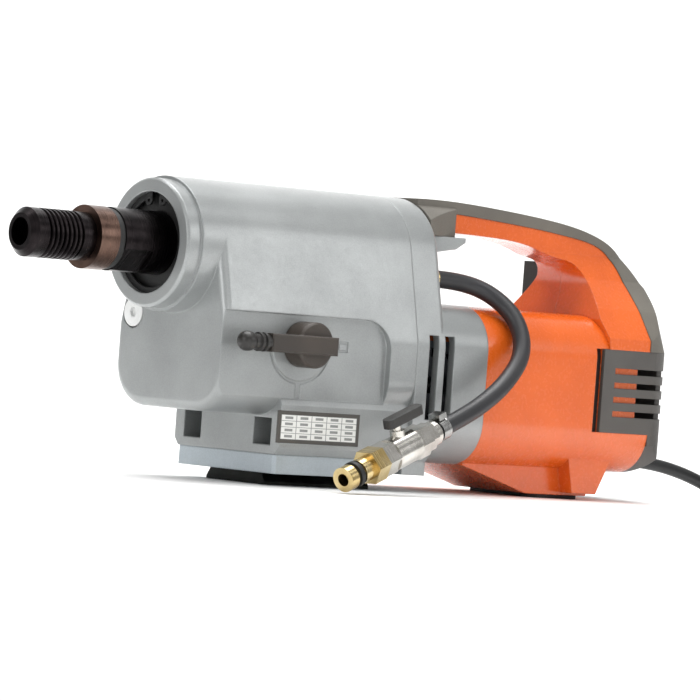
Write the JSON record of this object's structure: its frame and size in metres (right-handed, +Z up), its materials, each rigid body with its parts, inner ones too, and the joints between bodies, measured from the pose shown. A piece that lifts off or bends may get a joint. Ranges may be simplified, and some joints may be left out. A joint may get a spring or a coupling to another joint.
{
  "type": "core drill rig motor",
  "caption": "Handheld or rig-mounted core drill motor with a three-speed gearbox, threaded hollow spindle, water feed hose, rear handle and mains cord.",
  "frame": {"origin": "centre of the mounting plate's underside, which stands on z = 0", "axes": "+X from the spindle nose to the rear, -Y the selector knob's side, +Z up"},
  "size_m": [0.7965, 0.1763, 0.1963],
  "materials": {
    "case_paint": "satin",
    "adapter_paint": "satin",
    "plate_steel": "satin",
    "screw_steel": "satin",
    "seal_rubber": "matte",
    "black_steel": "satin",
    "plug_white": "satin",
    "bearing_steel": "polished",
    "spindle_steel": "oiled",
    "bronze": "oiled",
    "gear_steel": "ground",
    "knob_plastic": "matte",
    "knob_rubber": "matte",
    "label_black": "matte",
    "label_white": "satin",
    "pad_rubber": "matte",
    "orange_plastic": "gloss",
    "grip_plastic": "matte",
    "lamination_steel": "ground",
    "copper": "bright",
    "black_plastic": "matte",
    "brass": "bright",
    "carbon": "matte",
    "switch_plastic": "gloss",
    "hose_rubber": "satin",
    "nickel": "satin",
    "cord_rubber": "satin"
  },
  "bodies": {
    "housing": {"gear_case": "case_paint", "middle_casting": "case_paint", "adapter_plate": "adapter_paint", "mounting_plate": "plate_steel", "plate_screws": "screw_steel", "nose_seal": "seal_rubber", "nose_clip": "black_steel", "plug_screw": "plug_white", "gearbox_bearings": "bearing_steel", "fork_rail": "gear_steel", "label_frame": "label_black", "label_plate": "label_white", "foot_pad": "pad_rubber", "motor_housing": "orange_plastic", "grip_band": "grip_plastic", "handle_near": "orange_plastic", "handle_far": "orange_plastic", "rear_cover": "grip_plastic", "strain_relief": "seal_rubber", "field_stator": "lamination_steel", "field_coils": "copper", "brush_bracket": "black_plastic", "brush_holders": "brass", "carbon_brushes": "carbon", "armature_bearings": "bearing_steel", "control_module": "black_plastic", "switch_body": "black_plastic", "water_union": "brass", "water_hose": "hose_rubber", "hose_clamp": "nickel", "valve_body": "nickel", "coupler": "brass", "coupler_ring": "seal_rubber", "power_cord": "cord_rubber", "cord_coil": "cord_rubber", "cord_tail": "cord_rubber", "mains_plug": "black_plastic", "plug_pins": "nickel"},
    "spindle": {"spindle": "spindle_steel", "release_ring": "bronze", "slinger_ring": "seal_rubber", "spindle_gear": "gear_steel"},
    "output_shaft": {"output_shaft": "gear_steel"},
    "draw_key": {"draw_key": "gear_steel"},
    "free_gear_32": {"free_gear_32": "gear_steel"},
    "free_gear_27": {"free_gear_27": "gear_steel"},
    "free_gear_23": {"free_gear_23": "gear_steel"},
    "layshaft": {"layshaft": "gear_steel", "first_gear": "gear_steel"},
    "armature": {"armature_shaft": "gear_steel", "armature_core": "lamination_steel", "commutator": "copper", "fan": "black_plastic"},
    "selector": {"knob": "knob_plastic", "knob_tip": "knob_rubber", "selector_shaft": "gear_steel"},
    "shift_fork": {"shift_fork": "gear_steel"},
    "switch_rocker": {"switch_rocker": "switch_plastic"},
    "valve": {"valve_ball": "nickel", "valve_lever": "black_plastic"}
  },
  "joints": [
    {"name": "spindle_spin", "type": "hinge", "parent": "housing", "child": "spindle", "pos_m": [-0.15, 0, 0.1515], "axis": [1, 0, 0], "continuous": true},
    {"name": "output_shaft_spin", "type": "hinge", "parent": "housing", "child": "output_shaft", "pos_m": [0, -0.02, 0.11063], "axis": [1, 0, 0], "continuous": true},
    {"name": "free_gear_32_spin", "type": "hinge", "parent": "housing", "child": "free_gear_32", "pos_m": [-0.06, -0.02, 0.11063], "axis": [1, 0, 0], "continuous": true},
    {"name": "free_gear_27_spin", "type": "hinge", "parent": "housing", "child": "free_gear_27", "pos_m": [-0.044, -0.02, 0.11063], "axis": [1, 0, 0], "continuous": true},
    {"name": "free_gear_23_spin", "type": "hinge", "parent": "housing", "child": "free_gear_23", "pos_m": [-0.028, -0.02, 0.11063], "axis": [1, 0, 0], "continuous": true},
    {"name": "layshaft_spin", "type": "hinge", "parent": "housing", "child": "layshaft", "pos_m": [0, 0.01262, 0.0994], "axis": [1, 0, 0], "continuous": true},
    {"name": "armature_spin", "type": "hinge", "parent": "housing", "child": "armature", "pos_m": [0.15, 0, 0.07149], "axis": [1, 0, 0], "continuous": true},
    {"name": "selector_turn", "type": "hinge", "parent": "housing", "child": "selector", "pos_m": [-0.041, -0.06, 0.093], "axis": [0, -1, 0], "range_deg": [0, 180]},
    {"name": "fork_slide", "type": "slide", "parent": "housing", "child": "shift_fork", "axis": [1, 0, 0], "range_m": [0, 0.03142]},
    {"name": "draw_key_slide", "type": "slide", "parent": "output_shaft", "child": "draw_key", "axis": [1, 0, 0], "range_m": [0, 0.03142]},
    {"name": "switch_rock", "type": "hinge", "parent": "housing", "child": "switch_rocker", "pos_m": [0.247, 0.042, 0.148], "axis": [1, 0, 0], "range_deg": [0, 16]},
    {"name": "valve_turn", "type": "hinge", "parent": "housing", "child": "valve", "pos_m": [0.00874, -0.10017, 0.02917], "axis": [-0.3368, -0.0625, 0.9395], "range_deg": [0, 90]}
  ],
  "couplings": [
    {"joint": "output_shaft_spin", "follows": "spindle_spin", "ratio": -3.3333},
    {"joint": "free_gear_32_spin", "follows": "spindle_spin", "ratio": -3.3333},
    {"joint": "layshaft_spin", "follows": "spindle_spin", "ratio": 7.619},
    {"joint": "free_gear_27_spin", "follows": "spindle_spin", "ratio": -5.3616},
    {"joint": "free_gear_23_spin", "follows": "spindle_spin", "ratio": -7.619},
    {"joint": "armature_spin", "follows": "spindle_spin", "ratio": -26.32},
    {"joint": "fork_slide", "follows": "selector_turn", "m_per_rad": 0.01},
    {"joint": "draw_key_slide", "follows": "selector_turn", "m_per_rad": 0.01}
  ]
}
